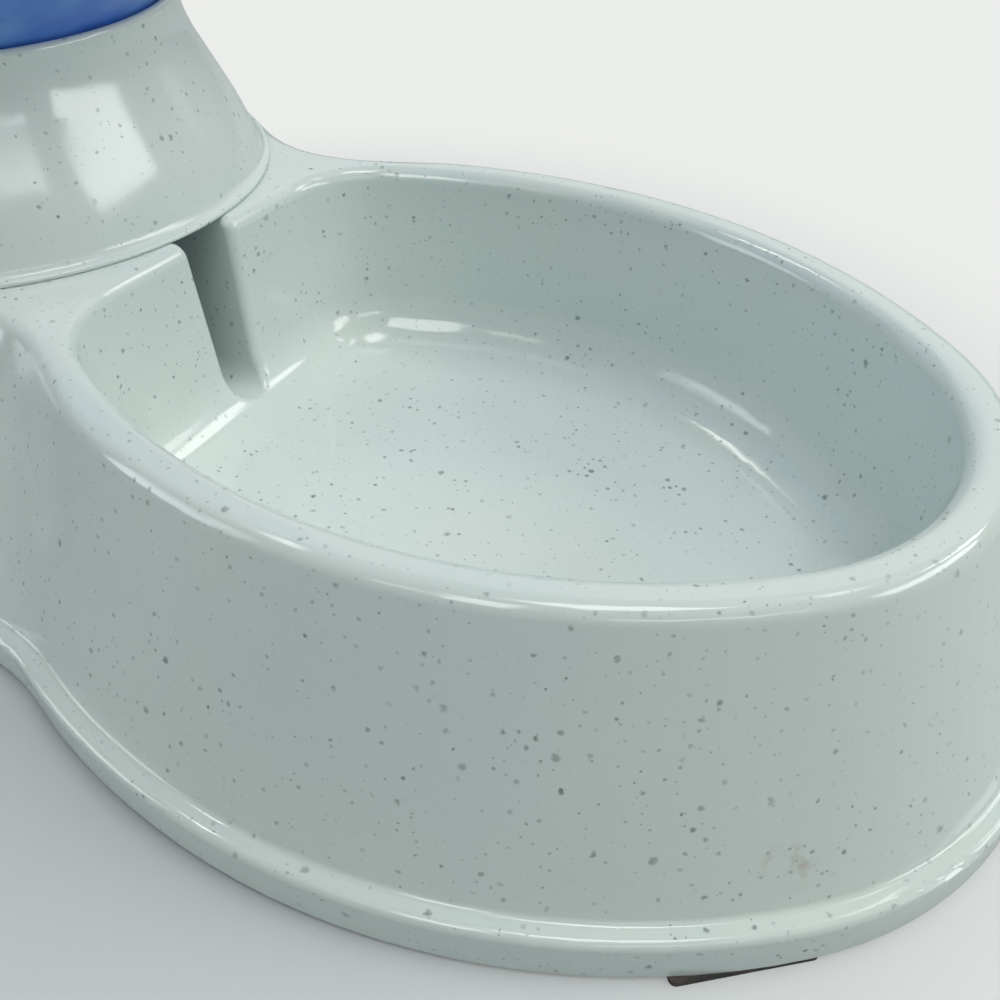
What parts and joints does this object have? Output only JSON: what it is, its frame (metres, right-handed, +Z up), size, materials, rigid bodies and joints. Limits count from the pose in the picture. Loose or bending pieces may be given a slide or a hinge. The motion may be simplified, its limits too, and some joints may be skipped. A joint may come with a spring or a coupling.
{
  "type": "gravity pet water dispenser",
  "caption": "Gravity pet water dispenser: one-piece base with an oval bowl and a round well joined by a slot, a bell-shaped collar and an upturned translucent bottle.",
  "frame": {"origin": "middle of the bounding box on the ground plane, under the waist of the base", "axes": "+X to the right seen from the bowl's front, +Y from the bowl towards the bottle, +Z up"},
  "size_m": [0.2252, 0.422, 0.33],
  "materials": {
    "speckled_plastic": "gloss, pale grey-green with fine dark specks",
    "bottle_plastic": "gloss, translucent deep blue",
    "cap_plastic": "matte, dark slate blue",
    "valve_plastic": "satin",
    "spring_steel": "satin",
    "rubber": "matte"
  },
  "bodies": {
    "stand": {"base": "speckled_plastic", "collar": "speckled_plastic", "bottle": "bottle_plastic", "bottle_cap": "cap_plastic", "cap_gasket": "rubber", "valve_spring": "spring_steel", "spring_cage": "valve_plastic", "foot_front_left": "rubber", "foot_front_right": "rubber", "foot_rear_left": "rubber", "foot_rear_right": "rubber"},
    "valve": {"valve_plunger": "valve_plastic", "valve_seal": "rubber"}
  },
  "joints": [
    {"name": "valve_slide", "type": "slide", "parent": "stand", "child": "valve", "axis": [0, 0, 1], "range_m": [0, 0.003], "stiffness_N_per_m": 150, "springref_m": -0.008, "deforming": ["valve_spring"]}
  ]
}
